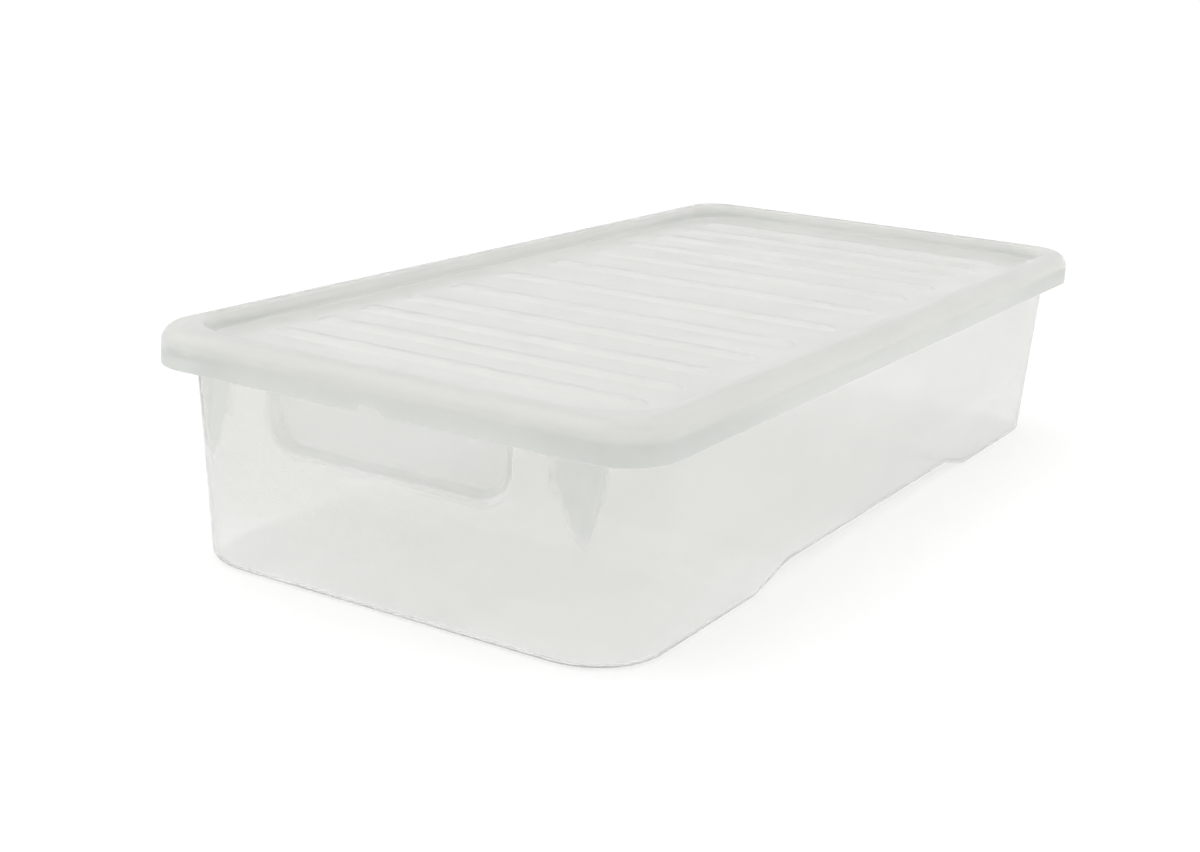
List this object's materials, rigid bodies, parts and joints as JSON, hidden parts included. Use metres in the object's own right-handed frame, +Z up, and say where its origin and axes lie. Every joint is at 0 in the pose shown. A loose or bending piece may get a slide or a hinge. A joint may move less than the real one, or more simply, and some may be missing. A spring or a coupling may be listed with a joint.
{
  "type": "under bed storage box",
  "caption": "Clear low storage tub with drafted walls, an arched base and end hand grips, closed by a clip-on lid with a ribbed tray.",
  "frame": {"origin": "centre of the footprint, on the floor under the feet", "axes": "+X along the length, +Y across the width, +Z up"},
  "size_m": [0.79, 0.39, 0.164],
  "materials": {
    "clear_tub": "clear polypropylene, slightly hazy, smooth outside",
    "clear_lid": "clear polypropylene, slightly hazier than the tub"
  },
  "bodies": {
    "tub_body": {"tub": "clear_tub"},
    "lid_body": {"lid": "clear_lid"}
  },
  "joints": [
    {"name": "lid_lift", "type": "slide", "parent": "tub_body", "child": "lid_body", "axis": [0, 0, 1], "range_m": [0, 0.2]}
  ]
}
